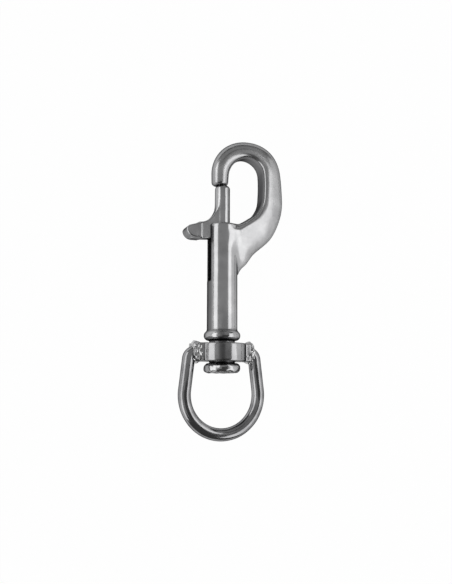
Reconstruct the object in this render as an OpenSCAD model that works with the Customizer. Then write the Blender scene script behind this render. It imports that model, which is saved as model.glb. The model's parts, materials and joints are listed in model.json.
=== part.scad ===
// Swivel snap hook, 100 mm size. A cast hook and barrel hold a sprung thumb bolt, and a
// welded wire eye turns freely on the riveted stem at the other end.
// Every piece is drawn with the barrel along Y and its mouth at Y = 0. The hook bends in
// the XY plane, away from the thumb lever. Then the whole is laid down as it rests.

/* [Barrel] */
// Outside diameter of the barrel
barrel_d = 10.3; // [9.4:0.1:12]
// Length of the barrel from its mouth to the collar
barrel_l = 36.4; // [32:0.2:50]
// Rounding of the edge at the barrel's mouth
mouth_round = 0.8; // [0.3:0.1:1]
// Thickness of metal below the bore
bore_floor = 2.2; // [1:0.1:6]

/* [Swivel stem] */
// Outside diameter of the round collar
collar_d = 12.3; // [11:0.1:15]
// Thickness of the collar
collar_t = 3.3; // [2.5:0.1:5]
// Diameter of the stem that the eye turns on
stem_d = 8.6; // [6:0.1:9.4]
// Diameter of the peened head at the end of the stem
head_d = 12.1; // [11:0.1:14]
// Thickness of the peened head
head_t = 3.2; // [1.6:0.1:4]
// Gap between the collar and the hub
gap_above_hub = 0.9; // [0.2:0.1:2.5]
// Gap between the hub and the peened head
gap_below_hub = 0.6; // [0.1:0.1:1.5]

/* [Hook] */
// Distance from the barrel's axis out to the middle of the limb
hook_reach = 18.5; // [16.5:0.1:22]
// Height above the mouth where the limb is furthest out
limb_level = 10.1; // [6:0.1:11]
// Height of the middle of the arch above the mouth
hook_rise = 27.2; // [24:0.1:34]
// Angle that the limb leans in by before the arch starts
limb_lean = 9; // [2:0.5:14]
// Angle at which the web leaves the barrel
root_angle = 30; // [24:1:36]
// Radius of the bend from the web into the limb
heel_r = 12; // [10:0.1:14]
// Distance that the nose stands off the barrel's axis, away from the limb
nose_offset = 1; // [0:0.1:1.2]
// Gap between the mouth and the end of the nose
nose_gap = 13.8; // [11:0.1:16]
// Diameter of the nose
nose_d = 5.7; // [5.2:0.1:7]
// Rounding of the end of the nose
nose_round = 1.1; // [0.4:0.1:1.6]
// Width of the arch, in the plane of the hook
arch_w = 6.1; // [5:0.1:7]
// Thickness of the arch, across the plane of the hook
arch_t = 6.9; // [5.5:0.1:8.4]
// Width of the limb, in the plane of the hook
limb_w = 7.7; // [6:0.1:8]
// Thickness of the limb, across the plane of the hook
limb_t = 7.6; // [6:0.1:9]
// Thickness of the web where it leaves the barrel
web_t = 8.2; // [6.5:0.1:9]

/* [Thumb bolt] */
// Diameter of the bolt
bolt_d = 5.2; // [4.4:0.1:5.6]
// Radial clearance between the bolt and its bore
bolt_fit = 0.06; // [0.03:0.01:0.09]
// Rounding of the bolt's tip
tip_round = 1.2; // [0.3:0.1:1.8]
// Gap between the bolt's tip and the nose
tip_gap = 0.1; // [0.05:0.05:0.5]
// Distance that the bolt draws back
bolt_travel = 13.8; // [12:0.1:16]
// Length of bolt below the mouth, with the hook closed
tail_l = 10; // [8:0.1:12]
// Thickness of the lever's web
lever_t = 3.1; // [2:0.1:3.4]
// Clearance on each side of the web in its slot
lever_fit = 0.35; // [0.1:0.05:0.4]
// Distance from the mouth down to the lever's lower edge
lever_drop = 5.5; // [3.5:0.1:6]
// Reach of the lever from the barrel's axis
lever_reach = 13.5; // [12:0.1:17]
// Length of the thumb pad along the lever's reach
pad_l = 5.5; // [4:0.1:6]
// Height of the thumb pad along the bolt
pad_h = 4.6; // [3.2:0.1:4.8]
// Width of the thumb pad across the lever
pad_t = 6; // [4.6:0.1:8]
// Reach of the gusset between the lever and the bolt
gusset_w = 6.5; // [5:0.1:7]
// Height that the gusset climbs up the bolt
gusset_h = 8.3; // [5:0.1:8.6]

/* [Return spring] */
// Wire diameter of the spring
spring_wire = 0.6; // [0.4:0.05:0.7]
// Radial clearance between the spring and the bore
spring_fit = 0.15; // [0.05:0.05:0.3]
// Number of turns
spring_turns = 11; // [6:1:12]

/* [Eye] */
// Diameter of the hub's round boss
hub_d = 16; // [14.4:0.1:18]
// Height of the hub along the stem
hub_h = 6; // [5:0.1:8]
// Length of the hub over both ears
hub_l = 18.6; // [18.2:0.1:22]
// Thickness of the ears
ear_t = 7; // [5.6:0.1:8]
// Radial clearance between the hub and the stem
hub_fit = 0.08; // [0.03:0.01:0.1]
// Diameter of the wire
wire_d = 4.3; // [3.4:0.1:5]
// Radius of the round end of the eye, to the middle of the wire
eye_r = 13.1; // [12.5:0.1:16]
// Distance from the middle of the hub to the centre of the round end
eye_drop = 13.9; // [13:0.1:22]
// Radius of the elbows, to the middle of the wire
elbow_r = 2.5; // [2.3:0.1:2.8]
// Size of the weld beads
weld_r = 1.35; // [1:0.05:1.6]
// Angle that the eye is turned by about the stem
eye_turn = 2; // [-20:1:20]

/* [Lying at rest] */
// Slope of the barrel, which rises towards the eye
lie_slope = 3.7; // [0:0.1:8]
// Roll about the barrel, with the limb down
lie_roll = 0.5; // [-6:0.1:10]

/* [Hidden] */
steel = [0.62, 0.62, 0.63];
bright_steel = [0.72, 0.72, 0.73];
dull_steel = [0.42, 0.42, 0.43];
spring_steel = [0.5, 0.5, 0.5];
$fn = 64;

// How far pieces of one casting run into each other
blend = 0.1;

// The barrel, its bore and its slot
barrel_r = barrel_d / 2;
bolt_r = bolt_d / 2;
bore_r = bolt_r + bolt_fit;
bore_l = barrel_l - bore_floor;
slot_w = lever_t + 2 * lever_fit;
stop_gap = 0.4;
slot_l = lever_drop + bolt_travel + stop_gap;

// Places along the stem, below the mouth
collar_end = -barrel_l - collar_t;
hub_top = collar_end - gap_above_hub;
hub_mid = hub_top - hub_h / 2;
head_top = hub_top - hub_h - gap_below_hub;
stem_l = (collar_t + head_t) / 2 + gap_above_hub + hub_h + gap_below_hub;
collar_round = 0.49 * collar_t;
edge_round = 0.5;
head_round = 0.8;

// The hook's centre line: a web, a heel, a long limb that leans in, a round arch, a nose.
// The arch's radius and the limb's rise follow from the reach, the rise and the lean.
heel_turn = 90 - root_angle;
arch_turn = 180 - limb_lean;
lean_k = 1 + cos(limb_lean);
top_k = 1 - sin(limb_lean);
shift_k = tan(limb_lean / 2);
limb_h = (hook_rise - limb_level - top_k * (hook_reach + nose_offset) / lean_k)
    / (1 - top_k * shift_k / lean_k);
arch_x = hook_reach - limb_h * shift_k;
arch_r = (arch_x + nose_offset) / lean_k;
root_l = (hook_reach - heel_r * (1 - sin(root_angle))) / cos(root_angle);
root_y = limb_level - heel_r * cos(root_angle) - root_l * sin(root_angle);
heel_l = heel_r * heel_turn * PI / 180;
limb_l = limb_h / cos(limb_lean / 2) * (limb_lean / 2) * PI / 180 / sin(limb_lean / 2);
arch_l = arch_r * arch_turn * PI / 180;
arch_foot_y = limb_level + limb_h - arch_r * sin(limb_lean);
nose_l = arch_foot_y - nose_gap;
hook_path = [[root_l, 0], [heel_l, heel_turn], [limb_l, limb_lean], [arch_l, arch_turn], [nose_l, 0]];
limb_foot = root_l + heel_l;
limb_top = limb_foot + limb_l;
arch_mid = limb_top + arch_l * (90 - limb_lean) / arch_turn;
hook_l = limb_top + arch_l + nose_l;

// Sections along the hook: place, inner and outer half widths, half thickness, and how
// square the inner side is, where 2 is round
round_side = 2;
flat_side = 5;
arch_out = 0.55 * arch_w;
web_reach = barrel_r / sin(root_angle) - blend;
hook_sections = [
    [0, 5.2, web_reach, web_t / 2, round_side],
    [0.3 * root_l, 6, web_t + 1.1, web_t / 2, round_side],
    [0.6 * root_l, 4.9, web_t - 0.7, web_t / 2, 2.4],
    [root_l, 0.55 * limb_w, 0.83 * limb_w, (web_t + limb_t) / 4, 3.5],
    [root_l + 0.5 * heel_l, 0.57 * limb_w, 0.58 * limb_w, limb_t / 2, 4.5],
    [limb_foot, 0.56 * limb_w, 0.5 * limb_w, limb_t / 2, flat_side],
    [limb_top, 0.48 * limb_w, 0.51 * limb_w, (limb_t + arch_t) / 4, flat_side],
    [limb_top + 0.22 * arch_l, 0.42 * limb_w, 0.54 * limb_w, (limb_t + 3 * arch_t) / 8, 4.5],
    [arch_mid, arch_w / 2, arch_out, arch_t / 2, 3.5],
    [limb_top + 0.85 * arch_l, 0.57 * nose_d, 0.53 * nose_d, nose_d / 2 + 0.15, 2.4],
    [hook_l, nose_d / 2, nose_d / 2, nose_d / 2, round_side]
];
hook_sides = 28;
hook_rings = 40;
round_rings = 4;

// The lever: its gusset is a quarter of an oval that runs out on the bolt
gusset_x = -sqrt(pow(bolt_r, 2) - pow(lever_t / 2, 2)) - gusset_w + blend;
lever_top = pad_h - lever_drop;
web_rise = 1.2;
web_lift = 0.5;
web_top = lever_top + web_rise;
pad_chamfer = 0.45;
pad_inner = lever_reach - pad_l;
pad_slant = 0.5;
pad_nose_round = 1.3;
pad_heel_round = 2;
pad_inner_round = 0.6;

// The spring between the bolt's tail and the floor of the bore
spring_r = bore_r - spring_fit - spring_wire / 2;
spring_seat_gap = 0.05;
spring_low = -bore_l + spring_wire / 2 + spring_seat_gap;
spring_high = -tail_l - spring_wire / 2 - spring_seat_gap;
spring_sides = 8;
rings_per_turn = 12;

// The eye: straight legs touch both the elbows and the round end
wire_r = wire_d / 2;
ear_x = hub_l / 2;
eye_y = hub_mid - eye_drop;
elbow_y = hub_mid - elbow_r;
leg_span = norm([ear_x, elbow_y - eye_y]);
leg_splay = atan2(elbow_y - eye_y, ear_x) - acos((eye_r - elbow_r) / leg_span);
wire_sides = 20;
elbow_rings = 8;
bow_rings = 36;
weld_beads = 9;
weld_out = 0.25;
weld_flare = 0.18;
weld_ripple = 0.08;

// The middle of the outline, which the origin lies under, and the lift onto the surface
centre_x = (hook_reach + limb_w / 2 - max(lever_reach, eye_r + wire_r)) / 2;
centre_y = (hook_rise + arch_out + eye_y - eye_r - wire_r) / 2;
lift = (hub_d / 2 - edge_round) * cos(lie_slope) + edge_round
    + (hub_top - edge_round) * sin(lie_slope);

// A disc along Y with rounded edges, its upper face at y
module round_disc(r, h, y, f) {
    translate([0, y, 0]) rotate([90, 0, 0]) rotate_extrude() {
        square([r - f, h]);
        translate([0, f]) square([r, h - 2 * f]);
        translate([r - f, f]) circle(r = f);
        translate([r - f, h - f]) circle(r = f);
    }
}

// A round bar along Y, from y down, with its upper edge rounded
module round_bar(r, h, y, f) {
    translate([0, y, 0]) rotate([90, 0, 0]) rotate_extrude() {
        square([r - f, h]);
        translate([0, f]) square([r, h - f]);
        translate([r - f, f]) circle(r = f);
    }
}

// The end of an arc that starts at p with heading h, is l long and turns by t
function arc_end(p, h, l, t) =
    p + (t == 0 ? l : l * sin(t / 2) / (t * PI / 360)) * [cos(h + t / 2), sin(h + t / 2)];

// The point and heading at length s along the hook's centre line
function on_path(s, i = 0, p = [0, root_y], h = root_angle) =
    let (l = hook_path[i][0], t = hook_path[i][1])
    s <= l || i == len(hook_path) - 1
        ? [arc_end(p, h, s, t * s / l), h + t * s / l]
        : on_path(s - l, i + 1, arc_end(p, h, l, t), h + t);

// Slope of column c of the sections at row i, for a smooth curve through them
function slope(i, c) =
    let (a = hook_sections[max(i - 1, 0)], b = hook_sections[min(i + 1, len(hook_sections) - 1)])
    (b[c] - a[c]) / (b[0] - a[0]);

// Column c of the sections at length s, on a cubic curve through the rows
function section_at(s, c, i = 0) =
    i < len(hook_sections) - 2 && s > hook_sections[i + 1][0] ? section_at(s, c, i + 1) :
    let (a = hook_sections[i], b = hook_sections[i + 1], d = b[0] - a[0], u = (s - a[0]) / d)
    a[c] * (1 + 2 * u) * pow(1 - u, 2) + slope(i, c) * d * u * pow(1 - u, 2)
        + b[c] * u * u * (3 - 2 * u) - slope(i + 1, c) * d * u * u * (1 - u);

// Half of a closed curve: cosine and sine raised so that a high q gives a square corner
function bent(v, q) = sign(v) * pow(abs(v), 2 / q);

// How much the nose's rounding takes off at length s
function nose_cut(s) =
    let (u = max(0, s - hook_l + nose_round) / nose_round)
    nose_round * (1 - sqrt(max(0, 1 - u * u)));

// One ring of points round the hook at length s
function hook_ring(s) =
    let (at = on_path(s), out = [sin(at[1]), -cos(at[1])], cut = nose_cut(s),
        inner = section_at(s, 1) - cut, outer = section_at(s, 2) - cut,
        half_t = section_at(s, 3) - cut, q = section_at(s, 4))
    [for (k = [0 : hook_sides - 1])
        let (c = cos(360 * k / hook_sides), n = sin(360 * k / hook_sides),
            u = c >= 0 ? outer * c : inner * bent(c, q),
            v = half_t * (c >= 0 ? n : bent(n, q)))
        [at[0][0] + out[0] * u, at[0][1] + out[1] * u, v]];

// A closed skin over rings of points, each with the same number of sides
module skin(rings) {
    n = len(rings[0]);
    last = len(rings) - 1;
    points = [for (r = rings) each r];
    walls = [for (i = [0 : last - 1]) for (k = [0 : n - 1])
        let (a = i * n + k, b = i * n + (k + 1) % n)
        each [[a, b, a + n], [b, b + n, a + n]]];
    caps = [for (k = [1 : n - 2]) each [[0, k + 1, k], [last * n, last * n + k, last * n + k + 1]]];
    polyhedron(points = points, faces = concat(walls, caps));
}

module hook() {
    straight = [for (i = [0 : hook_rings]) (hook_l - nose_round) * i / hook_rings];
    rounded = [for (i = [1 : round_rings]) hook_l - nose_round * (1 - sin(85 * i / round_rings))];
    skin([for (s = concat(straight, rounded)) hook_ring(s)]);
}

module lever_slot() {
    translate([-barrel_d, -slot_l, -slot_w / 2]) cube([barrel_d, slot_l + barrel_d, slot_w]);
}

// Barrel, collar, stem and head are one casting with the hook
module hook_body_solid() {
    difference() {
        union() {
            round_bar(barrel_r, barrel_l + collar_t / 2, 0, mouth_round);
            round_disc(collar_d / 2, collar_t, -barrel_l, collar_round);
            translate([0, -barrel_l - collar_t / 2, 0]) rotate([90, 0, 0])
                cylinder(d = stem_d, h = stem_l);
            round_disc(head_d / 2, head_t, head_top, head_round);
            hook();
        }
        translate([0, bolt_r, 0]) rotate([90, 0, 0]) cylinder(r = bore_r, h = bore_l + bolt_r);
        lever_slot();
    }
}

// Thumb pad, wider than the web that carries it, with its edges broken
module thumb_pad() {
    low = -lever_drop;
    corners = [
        [-lever_reach + pad_nose_round, lever_top - pad_slant - pad_nose_round, pad_nose_round],
        [-lever_reach + pad_heel_round, low + pad_heel_round, pad_heel_round],
        [-pad_inner - pad_inner_round, low + pad_inner_round, pad_inner_round],
        [-pad_inner - pad_inner_round, lever_top + web_rise / 2 - pad_inner_round, pad_inner_round]
    ];
    hull() for (c = corners) {
        translate([c[0], c[1], 0]) {
            cylinder(r = c[2], h = pad_t - 2 * pad_chamfer, center = true, $fn = 32);
            cylinder(r = c[2] - pad_chamfer, h = pad_t, center = true, $fn = 32);
        }
    }
}

module bolt_solid() {
    round_bar(bolt_r, nose_gap - tip_gap + tail_l, nose_gap - tip_gap, tip_round);
    translate([0, 0, -lever_t / 2]) linear_extrude(lever_t) difference() {
        polygon([
            [0, web_lift - lever_drop],
            [-pad_inner, -lever_drop],
            [-lever_reach + pad_heel_round, -lever_drop],
            [-lever_reach + pad_heel_round, lever_top - pad_slant],
            [gusset_x, web_top],
            [gusset_x, web_top + gusset_h],
            [0, web_top + gusset_h]
        ]);
        translate([gusset_x, web_top + gusset_h]) scale([gusset_w, gusset_h]) circle(r = 1);
    }
    thumb_pad();
}

// Helical spring, as rings of points set square to the coil
module spring_solid() {
    steps = spring_turns * rings_per_turn;
    rise = (spring_high - spring_low) / 360 / spring_turns;
    pitch_angle = atan(rise * 180 / PI / spring_r);
    skin([for (i = [0 : steps])
        let (a = i * 360 / rings_per_turn, y = spring_low + rise * a)
        [for (k = [0 : spring_sides - 1])
            let (b = -360 * k / spring_sides, u = spring_wire / 2 * cos(b), v = spring_wire / 2 * sin(b))
            [(spring_r + u) * cos(a) + v * sin(pitch_angle) * sin(a),
                y + v * cos(pitch_angle),
                -(spring_r + u) * sin(a) + v * sin(pitch_angle) * cos(a)]]]);
}

module hub_outside() {
    round_disc(hub_d / 2, hub_h, hub_top, edge_round);
    translate([0, hub_mid, -ear_t / 2]) linear_extrude(ear_t) {
        square([hub_l, hub_h - 2 * edge_round], center = true);
        square([hub_l - 2 * edge_round, hub_h], center = true);
        for (x = [-1, 1], y = [-1, 1])
            translate([x * (ear_x - edge_round), y * (hub_h / 2 - edge_round)]) circle(r = edge_round);
    }
}

module hub_solid() {
    difference() {
        hub_outside();
        translate([0, hub_mid, 0]) rotate([90, 0, 0])
            cylinder(r = stem_d / 2 + hub_fit, h = hub_h + 2, center = true);
    }
}

// Rings of points round the wire along its middle line, from one ear to the other. Each
// place on the line is a centre, a radius about it and an angle.
function wire_ring(c, r, a) = [for (k = [0 : wire_sides - 1])
    let (b = 360 * k / wire_sides, u = r + wire_r * cos(b))
    [c[0] + u * cos(a), c[1] + u * sin(a), wire_r * sin(b)]];

module bow_solid() {
    right = [ear_x, elbow_y];
    left = [-ear_x, elbow_y];
    bend = 90 - leg_splay;
    turn = 180 + 2 * leg_splay;
    skin(concat(
        [for (i = [0 : elbow_rings]) wire_ring(left, elbow_r, 90 + bend * i / elbow_rings)],
        [for (i = [0 : bow_rings]) wire_ring([0, eye_y], eye_r, 180 - leg_splay + turn * i / bow_rings)],
        [for (i = [0 : elbow_rings]) wire_ring(right, elbow_r, leg_splay + bend * i / elbow_rings)]
    ));
}

// A run of weld round the wire where it meets the left ear
module weld_solid() {
    difference() {
        for (k = [0 : weld_beads - 1]) {
            a = 360 * k / weld_beads;
            around = wire_r + weld_flare;
            translate([-ear_x - weld_out, hub_mid + around * cos(a), around * sin(a)])
                sphere(r = weld_r * (1 + weld_ripple * sin(a * 3)), $fn = 18);
        }
        hub_outside();
        bow_solid();
    }
}

// Laid on its side, as it comes to rest on a flat surface
module lie() {
    translate([-centre_x, -centre_y, lift]) rotate([-lie_slope, 0, 0]) rotate([0, lie_roll, 0]) children();
}

module turned_eye() {
    lie() rotate([0, eye_turn, 0]) children();
}

module hook_body() {
    color(steel) lie() hook_body_solid();
}

module bolt() {
    color(bright_steel) lie() bolt_solid();
}

module spring() {
    color(spring_steel) lie() spring_solid();
}

module eye_hub() {
    color(steel) turned_eye() hub_solid();
}

module eye_bow() {
    color(bright_steel) turned_eye() bow_solid();
}

module weld_left() {
    color(dull_steel) turned_eye() weld_solid();
}

module weld_right() {
    color(dull_steel) turned_eye() rotate([0, 180, 0]) weld_solid();
}

hook_body();
bolt();
spring();
eye_hub();
eye_bow();
weld_left();
weld_right();
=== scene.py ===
import json
import math

import bmesh
import bpy
import numpy as np
from mathutils import Matrix


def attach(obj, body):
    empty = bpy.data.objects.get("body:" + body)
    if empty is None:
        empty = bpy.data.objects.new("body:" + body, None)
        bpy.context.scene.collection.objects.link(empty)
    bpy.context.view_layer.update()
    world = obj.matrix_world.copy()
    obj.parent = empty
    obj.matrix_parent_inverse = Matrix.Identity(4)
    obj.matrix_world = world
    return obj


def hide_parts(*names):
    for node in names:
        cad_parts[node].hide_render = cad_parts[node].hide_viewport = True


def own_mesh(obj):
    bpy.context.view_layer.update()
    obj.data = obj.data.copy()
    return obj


# Swivel snap hook: a cast hook with its barrel, a sprung thumb bolt and a welded wire eye.
# Every piece is worked out in millimetres with the barrel along Y and its mouth at Y = 0,
# and then laid down to where the frame has it.

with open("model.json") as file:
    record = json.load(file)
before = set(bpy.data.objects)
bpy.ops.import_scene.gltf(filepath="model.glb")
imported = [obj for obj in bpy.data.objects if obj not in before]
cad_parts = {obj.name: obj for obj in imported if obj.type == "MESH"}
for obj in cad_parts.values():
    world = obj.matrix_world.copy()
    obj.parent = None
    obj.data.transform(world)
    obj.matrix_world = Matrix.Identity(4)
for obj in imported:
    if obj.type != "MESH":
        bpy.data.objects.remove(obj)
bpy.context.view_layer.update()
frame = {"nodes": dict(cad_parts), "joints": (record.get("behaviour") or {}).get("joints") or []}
joints = {j["name"]: j for j in frame["joints"]}

# how the hook lies: its slope and roll on the floor and the turn of its eye, in degrees, and
# the hub's place along the barrel
lying = {"slope": 3.7, "roll": 0.5, "eyeTurn": 2.0, "hubMiddle": -43.6}
perMetre = 1000


# a turn about one axis of the frame, as a matrix
def turnAbout(axis, degrees):
    return np.array(Matrix.Rotation(math.radians(degrees), 3, axis))


layTurn = turnAbout("X", -lying["slope"]) @ turnAbout("Y", lying["roll"])
hubPlace = np.array(joints["eye_swivel"]["pos_m"]) * perMetre
hubDrawn = np.array([0, lying["hubMiddle"], 0])
layShift = hubPlace - layTurn @ hubDrawn
eyeTurn = turnAbout("Y", lying["eyeTurn"])


# from the upright drawing to the frame: turned, shifted, and taken from millimetres to metres
def laidDown(p):
    return (p @ layTurn.T + layShift) / perMetre


# from the frame back to the upright drawing
def stoodUp(p):
    return (p * perMetre - layShift) @ layTurn


print("frame loaded")


# Shapes as fields: a field is the distance out of a solid, and below zero inside it.

# nought up to a start, one beyond a length from there, and straight between
def ramp(value, start, length):
    return np.clip((value - start) / length, 0, 1)


# the lower of two fields, with the corner between them filled over a width
def smoothMin(a, b, width):
    near = np.clip(1 - np.abs(a - b) / width, 0, 1)
    return np.minimum(a, b) - near * near * width / 4


# the space inside two walls, given how far out of each a point is, with a round corner
def roundedPair(a, b, r):
    outside = np.hypot(np.maximum(a + r, 0), np.maximum(b + r, 0))
    return outside + np.minimum(np.maximum(a + r, b + r), 0) - r


# how far points are from the barrel's axis
def fromAxis(p):
    return np.hypot(p[:, 0], p[:, 2])


# a round bar or disc along Y: how far out from its side and from its ends
def roundBar(p, radius, low, high, r):
    ends = np.abs(p[:, 1] - (low + high) / 2) - (high - low) / 2
    return roundedPair(fromAxis(p) - radius, ends, r)


# a block: how far out of each pair of faces, with all its edges rounded
def roundBlock(p, middle, half, r):
    q = np.abs(p - np.array(middle)) - np.array(half) + r
    return np.linalg.norm(np.maximum(q, 0), axis=1) + np.minimum(q.max(1), 0) - r


# a sum of sine waves that run in random directions, about one unit high, with lengths
# spread about the one given
def ripples(p, wavelength, seed, waves=14, spread=(0.6, 1.5)):
    rng = np.random.default_rng(seed)
    ways = rng.normal(size=(waves, 3))
    ways /= np.linalg.norm(ways, axis=1, keepdims=True)
    ways *= 2 * math.pi / wavelength * rng.uniform(*spread, (waves, 1))
    return np.sin(p @ ways.T + rng.uniform(0, 2 * math.pi, waves)).sum(1) / math.sqrt(waves / 2)


# how uneven a surface is: ripples of a height, a length and a seed
def uneven(p, waves):
    height, length, seed = waves
    return height * ripples(p, length, seed)


# the slope of a field at each point, from small steps along the three axes
def slopeOf(field, p, step=0.01):
    offsets = np.eye(3) * step
    return np.stack([(field(p + o) - field(p - o)) / (2 * step) for o in offsets], 1)


# a mesh of a piece in the frame, from points in the upright drawing
def newPiece(name, points, faces):
    mesh = bpy.data.meshes.new(name)
    mesh.from_pydata(laidDown(points), [], faces)
    mesh.polygons.foreach_set("use_smooth", np.ones(len(mesh.polygons), bool))
    mesh.update()
    piece = bpy.data.objects.new(name, mesh)
    bpy.context.scene.collection.objects.link(piece)
    return piece


# one number for each point of a piece, for its material to read
def setMask(piece, name, values):
    mask = piece.data.attributes.new(name, "FLOAT", "POINT")
    mask.data.foreach_set("value", np.ascontiguousarray(values, dtype=np.float32))


# the places of a mesh's points, one row for each
def rowsOf(mesh):
    co = np.empty(len(mesh.vertices) * 3)
    mesh.vertices.foreach_get("co", co)
    return co.reshape(-1, 3)


# points of a piece in the upright drawing
def pointsOf(piece):
    return stoodUp(rowsOf(piece.data))


# all the faces of a closed mesh turned to face out
def outwards(piece):
    build = bmesh.new()
    build.from_mesh(piece.data)
    bmesh.ops.recalc_face_normals(build, faces=build.faces)
    build.to_mesh(piece.data)
    build.free()


# the skin of a CAD solid cut into even cells, as points and faces with four corners
def evenCells(node, turn, cell, joined=1e-4):
    rough = frame["nodes"][node].data.copy()
    rough.vertices.foreach_set("co", (stoodUp(rowsOf(rough)) @ turn).ravel())
    build = bmesh.new()
    build.from_mesh(rough)
    bmesh.ops.remove_doubles(build, verts=build.verts, dist=joined)
    build.to_mesh(rough)
    build.free()
    holder = bpy.data.objects.new("rough", rough)
    bpy.context.scene.collection.objects.link(holder)
    remesh = holder.modifiers.new("cells", "REMESH")
    remesh.mode = "VOXEL"
    remesh.voxel_size = cell
    finished = holder.evaluated_get(bpy.context.evaluated_depsgraph_get())
    even = finished.to_mesh()
    points, corners = rowsOf(even), np.empty(len(even.loops), np.int32)
    even.loops.foreach_get("vertex_index", corners)
    finished.to_mesh_clear()
    bpy.data.objects.remove(holder)
    return points, corners.reshape(-1, 4).tolist()


# A casting: the cells' points are moved along the field's slope, by the field over the slope's
# square and by a cell at most, until the field is zero there. That rounds every corner as the
# field does.
def casting(name, node, field, cell, turn=np.eye(3), moves=5, flattest=0.2):
    points, faces = evenCells(node, turn, cell)
    for step in range(moves):
        value, way = field(points), slopeOf(field, points)
        move = value[:, None] * way / np.maximum((way * way).sum(1), flattest)[:, None]
        size = np.linalg.norm(move, axis=1, keepdims=True)
        points = points - move * np.minimum(1, cell / np.maximum(size, 1e-9))
    print(name, len(points), "points, left over", round(float(np.abs(value).max()), 3))
    return newPiece(name, points @ turn.T, faces)


# Cast hook, barrel and stem

hookSizes = {
    "reach": 18.5, "limbLevel": 10.1, "rise": 27.2, "limbLean": 9, "rootAngle": 30,
    "heelRadius": 12, "noseOffset": 1.0, "noseGap": 13.8, "noseRound": 1.1,
    "noseThick": 5.7, "archWide": 6.1, "archThick": 6.9,
    "limbWide": 7.7, "limbThick": 7.6, "webThick": 8.2, "webReach": 10.2,
    "webBlend": 1.5, "notchBlend": 1.1, "notchTop": 3, "notchLong": 9,
}
barrelSizes = {
    "radius": 5.15, "length": 36.4, "mouthRound": 0.8, "casting": (0.003, 5, 7),
    "boreRadius": 2.66, "boreDepth": 34.2, "boreTop": 3, "boreRim": 0.25, "boreRound": 0.1,
    "slotWide": 3.8, "slotLength": 19.7, "slotTop": 6, "slotRound": 0.3,
    "collarRadius": 6.15, "collarThick": 3.3, "collarBlend": 0.6, "collarRound": 0.49,
    "stemRadius": 4.3, "stemRound": 0.1, "stemBlend": 0.3, "overlap": 1,
    "headRadius": 6.05, "headTop": -47.2, "headThick": 3.2, "headRound": 1.35,
    "hammering": (0.07, 3, 31), "hammeredTop": 0.2, "hammeredFade": 0.6,
}
collarLow = -barrelSizes["length"] - barrelSizes["collarThick"]


# The hook's centre line as (length, turn) of a web, heel, limb, arch and nose. The limb's rise
# and the arch's radius follow from two facts: the arch's top lies at the rise, and its far
# end comes down beside the barrel's axis, by the nose's offset.
def hookLine(h):
    lean = math.radians(h["limbLean"])
    root = math.radians(h["rootAngle"])
    leanK, topK, shiftK = 1 + math.cos(lean), 1 - math.sin(lean), math.tan(lean / 2)
    limbRise = h["rise"] - h["limbLevel"] - topK * (h["reach"] + h["noseOffset"]) / leanK
    limbRise /= 1 - topK * shiftK / leanK
    archRadius = (h["reach"] - limbRise * shiftK + h["noseOffset"]) / leanK
    webLong = (h["reach"] - h["heelRadius"] * (1 - math.sin(root))) / math.cos(root)
    rootLevel = h["limbLevel"] - h["heelRadius"] * math.cos(root) - webLong * math.sin(root)
    heelTurn = math.pi / 2 - root
    archTurn = math.pi - lean
    limbLong = limbRise / math.cos(lean / 2) * (lean / 2) / math.sin(lean / 2)
    noseLong = h["limbLevel"] + limbRise - archRadius * math.sin(lean) - h["noseGap"]
    parts = [
        (webLong, 0), (h["heelRadius"] * heelTurn, heelTurn), (limbLong, lean),
        (archRadius * archTurn, archTurn), (noseLong, 0),
    ]
    return parts, rootLevel, root


# Rows of place, inner and outer half width, half thickness, how square the inner and the outer
# side are, where 2 is round, how far in the ridge lies, and how steeply both faces fall from
# the ridge to the outer side. Four rows are on the web, then one each at the heel's start and
# middle and the limb's foot and top, three on the arch, and one at the nose's end.
def hookSections(h, line):
    web, heel, limb, arch, nose = [length for length, turn in line]
    limbFoot, limbTop = web + heel, web + heel + limb
    archMiddle = limbTop + arch * (90 - h["limbLean"]) / (180 - h["limbLean"])
    wide, thick = h["limbWide"], (h["limbThick"] + h["archThick"]) / 4
    webHalf, limbHalf, archHalf, noseHalf = (
        h[part] / 2 for part in ("webThick", "limbThick", "archThick", "noseThick"))
    return np.array([
        [0, 5.2, h["webReach"], 0.82 * webHalf, 2.1, 2.6, 1.9, 0.08],
        [0.12 * web, 5.6, 2 * webHalf + 1.6, 0.97 * webHalf, 2.1, 2.6, 1.9, 0.1],
        [0.3 * web, 5.7, 2 * webHalf + 1.1, 1.09 * webHalf, 2.1, 2.6, 2, 0.12],
        [0.6 * web, 4.3, 2 * webHalf - 0.7, 1.09 * webHalf, 2.4, 2.4, 2, 0.14],
        [web, 0.57 * wide, 0.83 * wide, 1.04 * (webHalf + limbHalf) / 2, 3.2, 2.4, 2.1, 0.16],
        [web + 0.5 * heel, 0.61 * wide, 0.58 * wide, limbHalf, 4, 2.4, 2.4, 0.18],
        [limbFoot, 0.58 * wide, 0.5 * wide, limbHalf, 4.5, 2.4, 2.5, 0.19],
        [limbTop, 0.48 * wide, 0.51 * wide, thick, 4.5, 2.3, 1.6, 0.17],
        [limbTop + 0.22 * arch, 0.42 * wide, 0.54 * wide, (thick + archHalf) / 2, 4, 2.1, 0.8, 0.1],
        [archMiddle, h["archWide"] / 2, 0.548 * h["archWide"], archHalf, 3.5, 1.8, 0.3, 0.05],
        [limbTop + 0.85 * arch, 1.14 * noseHalf, 1.06 * noseHalf, noseHalf + 0.15, 2.4, 1.9, 0, 0],
        [limbTop + arch + nose, noseHalf, noseHalf, noseHalf, 2, 2, 0, 0],
    ])


hookParts, rootLevel, rootHeading = hookLine(hookSizes)
hookRows = hookSections(hookSizes, hookParts)
hookLong = hookRows[-1, 0]


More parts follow.
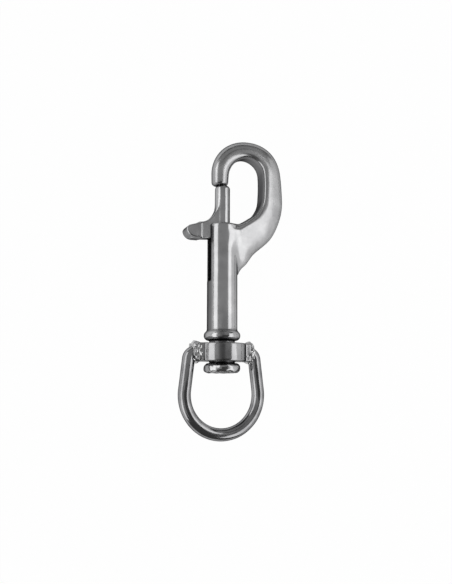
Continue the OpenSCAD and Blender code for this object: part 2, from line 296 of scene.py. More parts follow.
# the nearest place on the centre line: its length along, and how far the point is out to the
# side and past the end. Each straight and arc is tried, and the nearest is kept.
def alongHook(p):
    at, heading, done = np.array([0.0, rootLevel]), rootHeading, 0.0
    best = np.full(len(p), np.inf)
    found = np.zeros((3, len(p)))
    for length, turn in hookParts:
        if turn == 0:
            way = np.array([math.cos(heading), math.sin(heading)])
            run = np.clip((p[:, :2] - at) @ way, 0, length)
            place, angle = at + run[:, None] * way, np.full(len(p), heading)
            end = at + length * way
        else:
            radius = length / turn
            middle = at + radius * np.array([-math.sin(heading), math.cos(heading)])
            rel = p[:, :2] - middle
            angle = np.arctan2(rel[:, 0], -rel[:, 1]) - heading - turn / 2
            angle = (angle + math.pi) % (2 * math.pi) - math.pi + turn / 2
            run = np.clip(angle, 0, turn) * radius
            angle = heading + run / radius
            place = middle + radius * np.stack([np.sin(angle), -np.cos(angle)], 1)
            end = middle + radius * np.array([math.sin(heading + turn), -math.cos(heading + turn)])
        gap = p[:, :2] - place
        side = gap[:, 0] * np.sin(angle) - gap[:, 1] * np.cos(angle)
        over = gap[:, 0] * np.cos(angle) + gap[:, 1] * np.sin(angle)
        distance = np.hypot(side, over)
        nearer = distance < best
        best = np.where(nearer, distance, best)
        found = np.where(nearer, np.stack([done + run, side, over]), found)
        at, heading, done = end, heading + turn, done + length
    return found


# the section's numbers at each length, on a cubic curve through the rows, whose steepness at
# a row is that of the line from the row before to the row after
def sectionAt(s):
    rows = hookRows
    i = np.clip(np.searchsorted(rows[:, 0], s, side="right") - 1, 0, len(rows) - 2)
    every = np.arange(len(rows))
    before, after = np.maximum(every - 1, 0), np.minimum(every + 1, len(rows) - 1)
    steep = (rows[after, 1:] - rows[before, 1:]) / (rows[after, :1] - rows[before, :1])
    length = (rows[i + 1, 0] - rows[i, 0])[:, None]
    u = (s[:, None] - rows[i, :1]) / length
    return (rows[i, 1:] * (1 + 2 * u) * (1 - u) ** 2 + steep[i] * length * u * (1 - u) ** 2
            + rows[i + 1, 1:] * u * u * (3 - 2 * u) - steep[i + 1] * length * u * u * (1 - u)).T


# The bent bar of the hook. On its skin the side over the half width and the height over the
# half thickness, each to a power that differs between the inner and the outer side, add up to
# one. The distance is the reach from the ridge, times one less the inverse of that sum's root.
def hookBar(p):
    s, side, over = alongHook(p)
    inner, outer, half, innerPower, outerPower, ridge, slant = sectionAt(s)
    side = side + ridge
    half = half - slant * np.clip(side, 0, outer + ridge)
    wide = np.where(side > 0, outer + ridge, inner - ridge)
    power = np.where(side > 0, outerPower, innerPower)
    ring = ((np.abs(side) / wide) ** power + (np.abs(p[:, 2]) / half) ** power) ** (1 / power)
    wall = np.hypot(side, p[:, 2]) * (1 - 1 / np.maximum(ring, 1e-3))
    ends = np.maximum(s - hookLong + over, np.where(s <= 0, -over, -hookLong))
    return roundedPair(wall, ends, hookSizes["noseRound"])


# hammer marks on the peened head: ripples that fade out above it
def hammered(p):
    b = barrelSizes
    return ramp(b["headTop"] - p[:, 1], -b["hammeredTop"], b["hammeredFade"]) * uneven(p, b["hammering"])


# Barrel, collar, stem and head are one casting with the hook: the lowest of their fields, with
# filled corners. The bore and the slot are the lower of two fields, which is cut out.
def hookBodyField(p):
    b, h = barrelSizes, hookSizes
    barrel = roundBar(p, b["radius"], -b["length"] - b["overlap"], 0, b["mouthRound"])
    collar = roundBar(p, b["collarRadius"], collarLow, -b["length"], b["collarRound"] * b["collarThick"])
    stem = roundBar(
        p, b["stemRadius"], b["headTop"] - b["overlap"], collarLow + b["overlap"], b["stemRound"])
    head = roundBar(p, b["headRadius"], b["headTop"] - b["headThick"], b["headTop"], b["headRound"])
    notch = h["notchBlend"] * ramp(-p[:, 1], h["notchTop"], h["notchLong"])
    solid = smoothMin(barrel, hookBar(p), h["webBlend"] + notch)
    solid = smoothMin(solid, collar, b["collarBlend"])
    solid = smoothMin(smoothMin(solid, stem, b["stemBlend"]), head + hammered(p), b["stemBlend"])
    solid = solid + uneven(p, b["casting"])
    bore = roundedPair(fromAxis(p) - b["boreRadius"], -p[:, 1] - b["boreDepth"], b["boreRound"])
    bore = np.maximum(bore, p[:, 1] - b["boreTop"])
    slot = roundedPair(np.abs(p[:, 2]) - b["slotWide"] / 2, -p[:, 1] - b["slotLength"], b["slotRound"])
    slot = np.maximum(slot, np.maximum(p[:, 0], p[:, 1] - b["slotTop"]))
    return roundedPair(solid, -np.minimum(bore, slot), b["boreRim"])


hookBody = casting("hookBody", "hook_body", hookBodyField, cell=0.24)
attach(hookBody, "hook")
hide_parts("hook_body")


# Thumb bolt

boltSizes = {
    "radius": 2.6, "tip": 13.7, "tail": -10, "tipRound": 1.2, "tailRound": 0.2,
    "leverThick": 3.1, "leverDrop": 5.5, "leverReach": 13.5, "overlap": 0.1,
    "gussetWide": 6.5, "gussetHigh": 8.3, "webRise": 1.2, "webLift": 0.5, "webRound": 0.4,
    "webEdge": 0.5, "padLong": 5.5, "padHigh": 4.6, "padSlant": 0.5, "padThick": 6,
    "padRound": 0.5, "padFall": 0.85, "padRise": 0.8, "padLow": 2, "heelRound": 3.0,
    "noseRound": 1.3, "innerRound": 0.6, "padBlend": 0.5, "rodBlend": 0.6, "casting": (0.006, 4, 11),
}


# how far out of a convex outline, given as its corners in order with the rounding of each:
# the furthest out of its sides, taken in pairs that meet at a corner
def convexOutline(p, corners):
    corners = np.array(corners, float)
    places, rounds = corners[:, :2], corners[:, 2]
    ahead = np.roll(places, -1, 0) - places
    out = np.stack([ahead[:, 1], -ahead[:, 0]], 1) / np.linalg.norm(ahead, axis=1, keepdims=True)
    out *= np.sign(((places - places.mean(0)) * out).sum(1))[:, None]
    sides = [(p[:, :2] - c) @ o for c, o in zip(places, out)]
    return np.max([roundedPair(sides[k - 1], sides[k], rounds[k]) for k in range(len(sides))], axis=0)


# how far out of the space below and left of an oval whose far corner is scooped out: one less
# the length to the oval's middle in its own radii, turned back into millimetres
def outOfOval(p, middle, radii):
    q = (p[:, :2] - np.array(middle)) / np.array(radii)
    length = np.maximum(np.hypot(q[:, 0], q[:, 1]), 1e-6)
    return (1 - length) * length / np.linalg.norm(q / np.array(radii), axis=1).clip(1e-6)


# The bolt: a rod, a thin web under a scooped gusset, and a thicker thumb pad. The web's top
# slants up towards the rod and then follows the oval, and its foot lifts towards the rod.
def boltField(p):
    b = boltSizes
    rod = roundBar(p, b["radius"], b["tail"], b["tip"], b["tipRound"])
    rod = np.where(p[:, 1] < 0, roundBar(p, b["radius"], b["tail"], b["tip"], b["tailRound"]), rod)
    padTop = b["padHigh"] - b["leverDrop"]
    webTop, padInner = padTop + b["webRise"], b["leverReach"] - b["padLong"]
    rodSide = math.sqrt(b["radius"] ** 2 - (b["leverThick"] / 2) ** 2)
    gussetX = -rodSide - b["gussetWide"] + b["overlap"]
    slant = (b["webRise"] + b["padSlant"]) / (b["leverReach"] - b["padLow"] + gussetX)
    above = (p[:, 1] - webTop - slant * (p[:, 0] - gussetX)) * math.cos(math.atan(slant))
    scoop = outOfOval(p, (gussetX, webTop + b["gussetHigh"]), (b["gussetWide"], b["gussetHigh"]))
    above = np.where(p[:, 0] > gussetX, scoop, above)
    above = np.maximum(above, p[:, 1] - webTop - b["gussetHigh"])
    below = -p[:, 1] - b["leverDrop"] + b["webLift"] * np.clip(1 + p[:, 0] / padInner, 0, 1)
    ends = np.maximum(p[:, 0], -p[:, 0] - b["leverReach"] + b["padLow"])
    web = roundedPair(np.maximum(below, ends), above, b["webRound"])
    web = roundedPair(web, np.abs(p[:, 2]) - b["leverThick"] / 2, b["webEdge"])
    outline = convexOutline(p, [
        (-b["leverReach"], padTop - b["padFall"], b["noseRound"]),
        (-b["leverReach"], -b["leverDrop"], b["heelRound"]),
        (-padInner, -b["leverDrop"], b["innerRound"]),
        (-padInner, padTop + b["padRise"], b["innerRound"]),
    ])
    pad = roundedPair(outline, np.abs(p[:, 2]) - b["padThick"] / 2, b["padRound"])
    field = smoothMin(smoothMin(web, pad, b["padBlend"]), rod, b["rodBlend"])
    return field + uneven(p, b["casting"])


thumbBolt = casting("thumbBolt", "bolt", boltField, cell=0.16)
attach(thumbBolt, "thumb_bolt")
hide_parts("bolt")


# Eye: hub and wire

hubSizes = {
    "radius": 7.99, "high": 6, "long": 18.6, "earThick": 7, "edge": 0.5, "earBlend": 0.35,
    "boreRadius": 4.38, "boreRim": 0.25, "casting": (0.005, 4, 17),
}
wireSizes = {
    "radius": 2.13, "bowRadius": 13.1, "bowDrop": 13.9, "elbowRadius": 2.5, "stub": 1.2,
    "drawing": (0.007, 6, 23), "sides": 72, "elbowSteps": 15, "bowSteps": 97, "legSteps": 10,
}


# a round boss and two ears, with the corner between them filled and the bore cut out
def hubField(p):
    h = hubSizes
    p = p - hubDrawn
    boss = roundBar(p, h["radius"], -h["high"] / 2, h["high"] / 2, h["edge"])
    ears = roundBlock(p, (0, 0, 0), (h["long"] / 2, h["high"] / 2, h["earThick"] / 2), h["edge"])
    solid = smoothMin(boss, ears, h["earBlend"]) + uneven(p, h["casting"])
    return roundedPair(solid, h["boreRadius"] - fromAxis(p), h["boreRim"])


# points of an arc about a middle, each with its way outward
def arcPoints(x, y, r, angle):
    return np.stack([x + r * np.cos(angle), y + r * np.sin(angle), np.cos(angle), np.sin(angle)], 1)


# The wire's middle line: a stub, an elbow, a leg, the round end, a leg, an elbow and a stub.
# The legs splay by the angle at which they touch both the elbows and the round end.
def bowLine(w):
    elbowLevel = lying["hubMiddle"] - w["elbowRadius"]
    bowLevel = lying["hubMiddle"] - w["bowDrop"]
    half, fall = hubSizes["long"] / 2, elbowLevel - bowLevel
    touch = math.acos((w["bowRadius"] - w["elbowRadius"]) / math.hypot(half, fall))
    splay = math.atan2(fall, half) - touch
    bend = math.pi / 2 - splay
    left = arcPoints(-half, elbowLevel, w["elbowRadius"],
                     np.linspace(math.pi / 2, math.pi / 2 + bend, w["elbowSteps"]))
    bow = arcPoints(0, bowLevel, w["bowRadius"],
                    np.linspace(math.pi - splay, 2 * math.pi + splay, w["bowSteps"]))
    right = arcPoints(half, elbowLevel, w["elbowRadius"],
                      np.linspace(splay, splay + bend, w["elbowSteps"]))
    leg = np.linspace(0, 1, w["legSteps"])[1:-1, None]
    inward = np.array([[w["stub"], 0, 0, 0]])
    return np.concatenate([
        left[:1] + inward, left, left[-1] + (bow[0] - left[-1]) * leg, bow,
        bow[-1] + (right[0] - bow[-1]) * leg, right, right[-1:] - inward])


# rings of points round places on a line: each place, plus the radius times the cosine along
# its way outward and the sine along its way across
def ringsRound(places, radius, outward, across, sides):
    angle = np.linspace(0, 2 * math.pi, sides, endpoint=False)[None, :, None]
    return places[:, None] + radius * (np.cos(angle) * outward[:, None] + np.sin(angle) * across[:, None])


# the cells of a grid of rings: each joins two rings and two sides
def ringCells(rings, sides):
    i, k = np.meshgrid(np.arange(rings - 1), np.arange(sides), indexing="ij")
    a, b = i * sides + k, i * sides + (k + 1) % sides
    return np.stack([a, b, b + sides, a + sides], -1).reshape(-1, 4)


# the faces of a bar: the cells of its rings, and one face to close each end
def barFaces(rings, sides):
    ends = [list(range(sides))[::-1], list(range((rings - 1) * sides, rings * sides))]
    return ringCells(rings, sides).tolist() + ends


# The wire: rings round its middle line, made uneven. It keeps the length along the wire and
# the share of the way round it, for the lines of drawing.
def eyeBowPiece(w):
    line, sides = bowLine(w), w["sides"]
    places = np.pad(line[:, :2], ((0, 0), (0, 1)))
    outward = np.pad(line[:, 2:4], ((0, 0), (0, 1)))
    outward /= np.linalg.norm(outward, axis=1, keepdims=True)
    across = np.tile([0, 0, 1.0], (len(line), 1))
    points = ringsRound(places, w["radius"], outward, across, sides).reshape(-1, 3)
    out = (points - np.repeat(places, sides, 0)) / w["radius"]
    points = points + out * uneven(points, w["drawing"])[:, None]
    piece = newPiece("eyeBow", points @ eyeTurn.T, barFaces(len(line), sides))
    outwards(piece)
    run = np.cumsum(np.linalg.norm(np.diff(line[:, :2], axis=0), axis=1))
    setMask(piece, "along", np.repeat(np.concatenate([[0], run]), sides))
    setMask(piece, "round", np.tile(np.arange(sides) / sides, len(line)))
    return piece


eyeHub = casting("eyeHub", "eye_hub", hubField, cell=0.2, turn=eyeTurn)
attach(eyeHub, "eye")
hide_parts("eye_hub")

eyeBow = eyeBowPiece(wireSizes)
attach(eyeBow, "eye")
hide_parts("eye_bow")


# Welds

weldSizes = {
    "blockMiddle": 8.75, "blockHalf": (1.75, 2.95, 3.45), "blockRound": 1.3,
    "beads": 9, "beadRadius": 1.4, "beadUneven": 0.08, "ringRadius": 2.33, "ringOut": 0.25,
    "blend": 0.7, "rough": (0.12, 1.7, 41), "finer": (0.03, 0.8, 51), "middle": 9.2,
    "reach": 6.0, "fine": 96, "halvings": 24,
}


# run of weld over one ear and the end of the wire: a soft block and a ring of beads, roughened
def weldField(p, side):
    w = weldSizes
    p = p - hubDrawn
    field = roundBlock(p, (side * w["blockMiddle"], 0, 0), w["blockHalf"], w["blockRound"])
    ringX = side * (hubSizes["long"] / 2 + w["ringOut"])
    for a in np.linspace(0, 2 * math.pi, w["beads"], endpoint=False):
        middle = np.array([ringX, w["ringRadius"] * math.cos(a), w["ringRadius"] * math.sin(a)])
        radius = w["beadRadius"] * (1 + w["beadUneven"] * math.sin(3 * a))
        field = smoothMin(field, np.linalg.norm(p - middle, axis=1) - radius, w["blend"])
    for height, length, seed in (w["rough"], w["finer"]):
        field = field + uneven(p, (height, length, seed + side))
    return field


# a ball of even cells, pulled onto the weld's field by halving along each ray from its middle
def weldPiece(name, side):
    w = weldSizes
    middle = hubDrawn + np.array([side * w["middle"], 0, 0])
    up = np.linspace(0, math.pi, w["fine"])[1:-1]
    across = np.linspace(0, 2 * math.pi, 2 * w["fine"], endpoint=False)
    u, v = np.meshgrid(up, across, indexing="ij")
    ways = np.stack([np.sin(u) * np.cos(v), np.sin(u) * np.sin(v), np.cos(u)], -1).reshape(-1, 3)
    ways = np.concatenate([ways, [[0, 0, 1.0], [0, 0, -1.0]]])
    low, high = np.zeros(len(ways)), np.full(len(ways), w["reach"])
    for step in range(w["halvings"]):
        half = (low + high) / 2
        inside = weldField(middle + ways * half[:, None], side) < 0
        low, high = np.where(inside, half, low), np.where(inside, high, half)
    points = middle + ways * low[:, None]
    rings, sides = len(up), len(across)
    cells = ringCells(rings, sides)[:, [0, 3, 2, 1]]
    k, last = np.arange(sides), (rings - 1) * sides
    top = np.stack([np.full(sides, len(points) - 2), k, (k + 1) % sides], 1)
    foot = np.stack([np.full(sides, len(points) - 1), last + (k + 1) % sides, last + k], 1)
    piece = newPiece(name, points @ eyeTurn.T, cells.tolist() + top.tolist() + foot.tolist())
    outwards(piece)
    return piece


for side, name, node in ((-1, "weldLeft", "weld_left"), (1, "weldRight", "weld_right")):
    weld = weldPiece(name, side)
    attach(weld, "eye")
    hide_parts(node)

print("hub, wire and welds made")


# Return spring

springSizes = {
    "wire": 0.6, "coilRadius": 2.21, "turns": 11, "turnSteps": 40, "sides": 14,
    "low": -33.85, "high": -10.35, "seat": -34.15, "pressed": 0.427,
}


# rings round a helix, whose way across is square to the helix as it climbs by its pitch
def springPiece(s):
    turn = np.linspace(0, 2 * math.pi * s["turns"], s["turns"] * s["turnSteps"] + 1)
    flat = 0 * turn
    rise = (s["high"] - s["low"]) / turn[-1]
    pitch = math.atan(rise / s["coilRadius"])
    outward = np.stack([np.cos(turn), flat, -np.sin(turn)], 1)
    ahead = np.stack([-np.sin(turn), flat, -np.cos(turn)], 1)
    middle = outward * s["coilRadius"] + np.stack([flat, s["low"] + rise * turn, flat], 1)
    across = np.array([0, math.cos(pitch), 0]) - ahead * math.sin(pitch)
    points = ringsRound(middle, s["wire"] / 2, outward, across, s["sides"])
    piece = newPiece("returnSpring", points.reshape(-1, 3), barFaces(len(turn), s["sides"]))
    outwards(piece)
    return piece


returnSpring = springPiece(springSizes)
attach(returnSpring, "hook")
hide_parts("spring")
tuple(laidDown(np.array([[0, springSizes["seat"], 0]]))[0])
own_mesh(returnSpring)
print("spring made")


# Steel finishes

# a socket, and Python's operators add Math nodes to it
class Value:
    def __init__(self, finish, socket):
        self.finish, self.socket = finish, socket

    def maths(self, operation, *values):
        return self.finish.node("ShaderNodeMath", {"operation": operation}, dict(enumerate(values)))

    def __add__(self, other):
        return self.maths("ADD", self, other)

    def __mul__(self, other):
        return self.maths("MULTIPLY", self, other)

    __radd__, __rmul__ = __add__, __mul__

    # kept between nought and one
    def held(self):
        return self.finish.node("ShaderNodeClamp", {}, {"Value": self})


# the nodes of one material or of the world
class Finish:
    def __init__(self, owner):
        owner.use_nodes = True
        self.tree = owner.node_tree
        self.tree.nodes.clear()

    # one node: its settings first, then the values or links of its sockets
    def node(self, kind, settings, sockets, out=0):
        made = self.tree.nodes.new(kind)
        for name, setting in settings.items():
            setattr(made, name, setting)
        for name, value in sockets.items():
            if isinstance(value, Value):
                self.tree.links.new(value.socket, made.inputs[name])
            else:
                made.inputs[name].default_value = value
        return Value(self, made.outputs[out]) if made.outputs else None

    def coords(self):
        return self.node("ShaderNodeTexCoord", {}, {}, "Object")

    def stretched(self, vector, scale):
        return self.node("ShaderNodeMapping", {}, {"Vector": vector, "Scale": scale})

    def noise(self, vector, scale, detail):
        return self.node("ShaderNodeTexNoise", {}, {"Vector": vector, "Scale": scale, "Detail": detail})

    def mask(self, name):
        return self.node("ShaderNodeAttribute", {"attribute_name": name}, {}, "Fac")

    # from one range to another, and held there
    def spread(self, value, span, toLow=0.0, toHigh=1.0):
        return self.node("ShaderNodeMapRange", {}, {
            "Value": value, "From Min": span[0], "From Max": span[1], "To Min": toLow, "To Max": toHigh})

    # a colour that goes over to a second one, each given as three numbers or as a socket
    def blend(self, amount, first, second):
        first, second = (c if isinstance(c, Value) else (*c, 1) for c in (first, second))
        return self.node("ShaderNodeMix", {"data_type": "RGBA"}, {"Factor": amount, 6: first, 7: second}, 2)

    # bumps of a height, over the bumps that another node has made
    def bump(self, height, strength, distance, under=None):
        below = {} if under is None else {"Normal": under}
        return self.node("ShaderNodeBump", {}, {
            "Height": height, "Strength": strength, "Distance": distance, **below})

    # a metal that is darker at its rim, where the edge shade takes over
    def steel(self, colour, roughness, normal, edge):
        shader = self.node("ShaderNodeBsdfPrincipled", {}, {
            "Base Color": colour, "Roughness": roughness, "Metallic": 1.0, "Normal": normal,
            "Specular Tint": (*edge, 1)})
        self.node("ShaderNodeOutputMaterial", {}, {"Surface": shader})


# a share of one value and the rest of another
def mixed(share, first, second):
    return first * share + second * (1 - share)


# Shades are linear, scales are waves to a metre, and the depths of bumps are in metres. The
# casting parameter of a piece above gives the height, length and seed of its ripples.
# the darkest of these colours is painted shade and painted dark reflections, which are also made duller
castFinish = {
    "dark": (0.34, 0.34, 0.345), "light": (0.5, 0.5, 0.505), "edge": (0.1, 0.1, 0.1),
    "shadeColour": (0.12, 0.12, 0.123), "smooth": 0.15, "dull": 0.21, "satin": 0.07, "shadeDull": 0.12,
    "cloudScale": 160, "cloudShare": 0.6, "span": (0.35, 0.65),
    "grainScale": 2600, "grain": 0.1, "grainDeep": 0.00004,
    "lineScale": (5200, 260, 5200), "lines": 0.04, "lineDeep": 0.00003,
}
boltFinish = dict(castFinish, smooth=0.13, dull=0.19, satin=0.03, grain=0.05)
hubFinish = dict(
    castFinish, dark=(0.26, 0.26, 0.265), light=(0.42, 0.42, 0.425), smooth=0.12, dull=0.18)


# cast and tumbled steel: soft clouds of tone, fine grain and faint lines of polishing, with painted
# shade and painted dark reflections where its mask says, which are also duller
def castSteel(g, f):
    at = g.coords()
    clouds = g.noise(at, f["cloudScale"], 3.0)
    grain = g.noise(at, f["grainScale"], 2.0)
    lines = g.noise(g.stretched(at, f["lineScale"]), 1, 1.0)
    amount = mixed(f["cloudShare"], g.spread(clouds, f["span"]), grain)
    colour = g.blend(amount.held(), f["dark"], f["light"])
    # painted shade and painted dark reflections: the colour goes over to the darkest colour where the mask
    # is
    colour = g.blend(g.mask("paintedShade"), colour, f["shadeColour"])
    rough = g.spread(mixed(f["cloudShare"], clouds, lines), f["span"], f["smooth"], f["dull"])
    rough = rough + g.mask("paintedShade") * f["shadeDull"] + g.mask("satin") * f["satin"]
    fine = g.bump(grain, f["grain"], f["grainDeep"])
    g.steel(colour, rough.held(), g.bump(lines, f["lines"], f["lineDeep"], fine), f["edge"])


# here alongScale is waves to a millimetre of wire, and roundScale is waves to one way round it
wireFinish = {
    "dark": (0.19, 0.19, 0.195), "light": (0.37, 0.37, 0.375), "edge": (0.08, 0.08, 0.08),
    "smooth": 0.09, "dull": 0.17, "span": (0.35, 0.65),
    "cloudScale": 220, "cloudShare": 0.6, "dullShare": 0.5,
    "grainScale": 3000, "grain": 0.04, "grainDeep": 0.00003,
    "alongScale": 0.35, "roundScale": 60, "lines": 0.04, "lineDeep": 0.00004,
}


# drawn wire: lines run along the wire, so the pattern is stretched by its own length
def wireSteel(g, f):
    at = g.coords()
    clouds = g.noise(at, f["cloudScale"], 3.0)
    runs = g.node("ShaderNodeCombineXYZ", {}, {
        0: g.mask("along") * f["alongScale"], 1: g.mask("round") * f["roundScale"], 2: 0.0})
    lines = g.noise(runs, 1.0, 2.0)
    grain = g.noise(at, f["grainScale"], 1.0)
    amount = mixed(f["cloudShare"], g.spread(clouds, f["span"]), lines)
    colour = g.blend(amount.held(), f["dark"], f["light"])
    rough = g.spread(mixed(f["dullShare"], clouds, lines), f["span"], f["smooth"], f["dull"])
    ridges = g.bump(lines, f["lines"], f["lineDeep"])
    g.steel(colour, rough, g.bump(grain, f["grain"], f["grainDeep"], ridges), f["edge"])


weldFinish = {
    "dark": (0.22, 0.22, 0.225), "light": (0.75, 0.75, 0.75), "edge": (0.4, 0.4, 0.4),
    "smooth": 0.1, "dull": 0.28, "span": (0.3, 0.7),
    "lumpScale": 750, "lumps": 0.5, "lumpDeep": 0.00014,
    "spatterScale": 2200, "spatter": 0.12, "spatterDeep": 0.00005,
}


# weld metal: lumps that turn from dark to bright, under fine spatter
def weldSteel(g, f):
    at = g.coords()
    lumps = g.noise(at, f["lumpScale"], 2.0)
    spatter = g.noise(at, f["spatterScale"], 1.0)
    colour = g.blend(g.spread(lumps, f["span"]), f["dark"], f["light"])
    rough = g.spread(spatter, f["span"], f["smooth"], f["dull"])
    fine = g.bump(spatter, f["spatter"], f["spatterDeep"])
    g.steel(colour, rough, g.bump(lumps, f["lumps"], f["lumpDeep"], fine), f["edge"])


springFinish = {
    "dark": (0.25, 0.25, 0.26), "light": (0.45, 0.45, 0.46), "edge": (0.4, 0.4, 0.4),
    "smooth": 0.25, "dull": 0.45, "span": (0.3, 0.7),
    "cloudScale": 500, "grainScale": 4000, "grain": 0.1, "grainDeep": 0.00002,
}


# bright spring wire: soft clouds and a fine grain
def springSteel(g, f):
    at = g.coords()
    clouds = g.noise(at, f["cloudScale"], 2.0)
    colour = g.blend(clouds, f["dark"], f["light"])
    rough = g.spread(clouds, f["span"], f["smooth"], f["dull"])
    g.steel(colour, rough, g.bump(g.noise(at, f["grainScale"], 1.0), f["grain"], f["grainDeep"]), f["edge"])


# Painted shade and painted dark reflections on the castings, and where they are satin, in millimetres and as
# shares

bodyShadeAndSatin = {
    # painted shade in the hollows
    "corner": 0.7, "cornerLine": 0.45, "cornerReach": 0.7, "stem": 0.9, "bore": 0.2, "slot": 0.2,
    "margin": 0.1, "overlap": 0.3,
    # painted shade on the inner wall
    "wall": 0.72, "wallFacing": 0.8, "wallSoft": 0.12, "wallStart": 0.2, "wallFadeIn": 3,
    "wallStop": 9, "wallFadeOut": 8,
    # the painted dark reflection along the sides, off the barrel and on it
    "line": 0.5, "darkSideHalf": 1.3, "barrelDarkSide": 0.85, "barrelDarkSideHalf": 3.1, "barrelDarkSideSoft": 0.9,
    "barrelSkin": 0.15, "belowMouth": 0.3,
    # the painted dark reflection down the collar's front and back
    "darkReflection": 0.6, "darkReflectionMiddle": -2, "darkReflectionHalf": 0.9, "collarHalf": 1.5, "collarSoft": 0.5,
    "satinStart": 3.5, "satinFade": 4,
}
# the painted shade down the bolt's rod, and the satin towards its pad
boltShadeAndSatin = {"shadeStart": 5.7, "shadeFade": 2, "satinStart": 2.4, "satinFade": 1}
# the painted dark reflection down the hub's front and back
hubDarkReflection = {"darkReflection": 0.85, "darkReflectionMiddle": -2.6, "darkReflectionHalf": 1.05}


# painted shade in hollows: how deep in a hollow a point lies, near a second surface while it is on the first
def shadeInHollows(p, t):
    b = barrelSizes
    corner = np.exp(-((p[:, 1] + b["length"]) / t["cornerLine"]) ** 2)
    corner = corner * (fromAxis(p) < b["radius"] + t["cornerReach"])
    stem = (p[:, 1] < collarLow + t["overlap"]) & (p[:, 1] > b["headTop"] - t["margin"])
    bore = (fromAxis(p) < b["boreRadius"] + t["margin"]) & (p[:, 1] < t["margin"])
    slot = (np.abs(p[:, 2]) < (b["slotWide"] + t["margin"]) / 2) & (p[:, 0] < t["overlap"] - b["boreRadius"])
    slot = slot & (p[:, 1] > -b["slotLength"] - t["margin"])
    return np.clip(t["corner"] * corner + t["stem"] * stem + t["bore"] * bore + t["slot"] * slot, 0, 1)


# painted shade on the inner wall: how much a point faces the inside of the hook, from the way its side
# changes along the slope there
def shadeOnInnerWall(p, t, step=0.02):
    way = slopeOf(hookBodyField, p)
    way /= np.maximum(np.linalg.norm(way, axis=1, keepdims=True), 1e-6)
    s, side = alongHook(p)[:2]
    facing = (side - alongHook(p + step * way)[1]) / step
    webLong = hookParts[0][0]
    beyond = ramp(s, t["wallStart"] * webLong, t["wallFadeIn"])
    before = ramp(hookLong - s, t["wallStop"], t["wallFadeOut"])
    return t["wall"] * ramp(facing, t["wallFacing"], t["wallSoft"]) * beyond * before


# painted dark reflection along the casting's sides, about its middle plane: a band with
# soft edges down the barrel, and a bell curve of the height elsewhere
def paintedDarkSides(p, t):
    height = np.abs(p[:, 2])
    onBarrel = (fromAxis(p) < barrelSizes["radius"] + t["barrelSkin"]) & (p[:, 1] < -t["belowMouth"])
    band = t["barrelDarkSide"] * ramp(-height, -t["barrelDarkSideHalf"], t["barrelDarkSideSoft"])
    return np.where(onBarrel, band, t["line"] * np.exp(-(height / t["darkSideHalf"]) ** 2))


# a painted dark reflection down the front and the back of a round part: e to minus the fourth
# power of the distance from its middle, in half widths
def paintedReflectionStreak(p, t):
    return t["darkReflection"] * np.exp(-((p[:, 0] - t["darkReflectionMiddle"] * np.sign(p[:, 2])) / t["darkReflectionHalf"]) ** 4)


# the hook's painted shade: the darkest of the painted shade in its hollows and on its inner wall and the
# painted dark reflection along its sides, and the collar's painted dark reflection
def paintShadeOnHookBody(p, t):
    collarLevel = -barrelSizes["length"] - barrelSizes["collarThick"] / 2
    onCollar = ramp(-np.abs(p[:, 1] - collarLevel), -t["collarHalf"], t["collarSoft"])
    paintedShade = np.maximum(shadeInHollows(p, t), np.maximum(shadeOnInnerWall(p, t), paintedDarkSides(p, t)))
    setMask(hookBody, "paintedShade", np.clip(paintedShade + onCollar * paintedReflectionStreak(p, t), 0, 1))
    setMask(hookBody, "satin", ramp(np.maximum(p[:, 0] - t["satinStart"], p[:, 1]), 0, t["satinFade"]))


paintShadeOnHookBody(pointsOf(hookBody), bodyShadeAndSatin)
boltPoints = pointsOf(thumbBolt)
# painted shade on the bolt's rod, darker below the lever where it lies in the bore
setMask(thumbBolt, "paintedShade", ramp(-boltPoints[:, 1], boltShadeAndSatin["shadeStart"], boltShadeAndSatin["shadeFade"]))
setMask(thumbBolt, "satin", ramp(-boltPoints[:, 0], boltShadeAndSatin["satinStart"], boltShadeAndSatin["satinFade"]))
# painted dark reflection down the hub's front and back
setMask(eyeHub, "paintedShade", paintedReflectionStreak(pointsOf(eyeHub), hubDarkReflection))


# a piece gets one material, which a recipe makes from its finish
def coat(piece, name, recipe, finish):
    material = bpy.data.materials.new(name)
    recipe(Finish(material), finish)
    piece.data.materials.clear()
    piece.data.materials.append(material)


coat(hookBody, "castHookSteel", castSteel, castFinish)
coat(thumbBolt, "boltSteel", castSteel, boltFinish)
coat(eyeHub, "hubSteel", castSteel, hubFinish)
coat(eyeBow, "wireSteel", wireSteel, wireFinish)
coat(returnSpring, "springSteel", springSteel, springFinish)
for name in ("weldLeft", "weldRight"):
    coat(bpy.data.objects[name], name + "Steel", weldSteel, weldFinish)
print("steel finishes made")


# Floor, light and camera, in metres

floorSizes = {"half": 1.2, "white": 0.98, "shade": 0.9}


# a white glow for the camera and for what the metal mirrors, and a pale matt paper for the
# rest of the light: the share of glow is the sum of the three kinds of ray, times its white
def paperWhite(g, f):
    paper = g.node("ShaderNodeBsdfDiffuse", {}, {"Color": (*(f["shade"],) * 3, 1)})
    white = g.node("ShaderNodeEmission", {}, {"Color": (1, 1, 1, 1), "Strength": 1.0})
    rays = ("Is Camera Ray", "Is Glossy Ray", "Is Transmission Ray")
    seen, glossy, through = (g.node("ShaderNodeLightPath", {}, {}, ray) for ray in rays)
    share = ((seen + glossy + through) * f["white"]).held()
    g.node("ShaderNodeOutputMaterial", {}, {
        "Surface": g.node("ShaderNodeMixShader", {}, {0: share, 1: paper, 2: white})})


# a square floor under the hook
def paleFloor(f):
    mesh = bpy.data.meshes.new("paleFloor")
    corners = [(x * f["half"], y * f["half"], 0) for x, y in ((-1, -1), (1, -1), (1, 1), (-1, 1))]
    mesh.from_pydata(corners, [], [(0, 1, 2, 3)])
    floor = bpy.data.objects.new("paleFloor", mesh)
    bpy.context.scene.collection.objects.link(floor)
    coat(floor, "palePaper", paperWhite, f)


paleFloor(floorSizes)

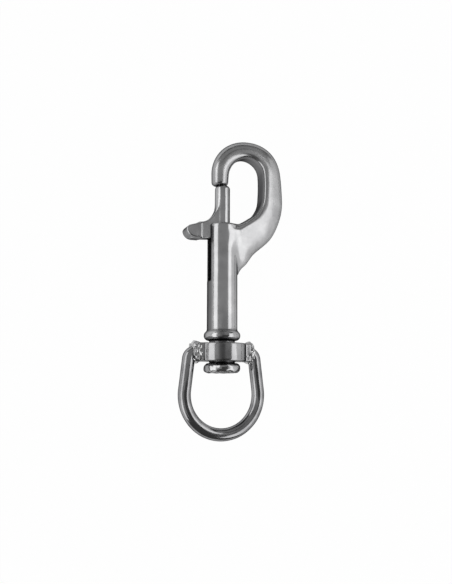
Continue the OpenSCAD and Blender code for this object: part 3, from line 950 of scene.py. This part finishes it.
# soft boxes: their place, their size along and up, and how bright they are
softBoxes = {
    "leftBox": {"at": (-0.42, 0.0, 0.16), "size": (0.9, 0.25), "level": 1.8},
    "rightBox": {"at": (0.292, -0.07, 0.342), "size": (0.74, 0.22), "level": 1.8},
    "rightLow": {"at": (0.423, -0.02, 0.154), "size": (0.86, 0.26), "level": 0.9},
    "farCard": {"at": (0.0, 0.5, 0.3), "size": (0.8, 0.36), "level": 0.3},
    "overCard": {"at": (-0.114, 0.17, 0.456), "size": (0.3, 0.84), "level": 0.3},
    "sideCard": {"at": (-0.288, -0.104, 0.396), "size": (0.31, 0.29), "level": 0.3},
}


# A lamp that faces the origin, with one edge along the barrel, or across it where the lamp
# stands at the barrel's end. Its power is its level times pi times its area.
def softBox(name, b):
    light = bpy.data.lights.new(name, "AREA")
    light.shape = "RECTANGLE"
    light.size, light.size_y = b["size"]
    light.energy = b["level"] * math.pi * b["size"][0] * b["size"][1]
    lamp = bpy.data.objects.new(name, light)
    bpy.context.scene.collection.objects.link(lamp)
    away = np.array(b["at"]) / np.linalg.norm(b["at"])
    along = np.array([0, 1.0, 0]) if abs(away[1]) < 0.5 else np.array([1.0, 0, 0])
    up = np.cross(away, along)
    up /= np.linalg.norm(up)
    along = np.cross(up, away)
    turn = Matrix(np.stack([along, up, away], 1).tolist()).to_4x4()
    turn.translation = b["at"]
    lamp.matrix_world = turn


for name, b in softBoxes.items():
    softBox(name, b)

worldGlow = 0.1
studio = bpy.data.worlds.new("studio")
bpy.context.scene.world = studio
g = Finish(studio)
g.node("ShaderNodeOutputWorld", {}, {
    "Surface": g.node("ShaderNodeBackground", {}, {"Color": (1, 1, 1, 1), "Strength": worldGlow})})

# The camera stands off the middle of the barrel, turned towards the lever and tipped. Turns
# are in degrees, focal and frameHigh in pixels of the photograph's frame, near and far in
# metres, and the rest in millimetres.
viewSizes = {
    "aim": (0.0, -21.3, 0.0), "turn": 20.0, "tip": -8.0, "roll": -0.134, "away": 230.0,
    "aside": 1.2943, "below": -1.857, "focal": 678.8, "frameHigh": 584, "sensor": 36.0,
    "near": 0.01, "far": 10,
}


# the camera's place is its aim, plus its distances aside, below and away along its own axes
def photoCamera(v):
    camera = bpy.data.cameras.new("photoCamera")
    camera.sensor_width = v["sensor"]
    camera.lens = v["focal"] / v["frameHigh"] * v["sensor"]
    camera.clip_start, camera.clip_end = v["near"], v["far"]
    stand = bpy.data.objects.new("photoCamera", camera)
    bpy.context.scene.collection.objects.link(stand)
    turn = turnAbout("Z", v["roll"]) @ turnAbout("X", v["tip"]) @ turnAbout("Y", v["turn"])
    place = np.array(v["aim"]) + turn.T @ np.array([v["aside"], v["below"], v["away"]])
    matrix = Matrix((layTurn @ turn.T).tolist()).to_4x4()
    matrix.translation = laidDown(place[None])[0].tolist()
    stand.matrix_world = matrix
    bpy.context.scene.camera = stand


photoCamera(viewSizes)
bpy.context.scene.view_settings.view_transform = "Standard"
print("stage made")
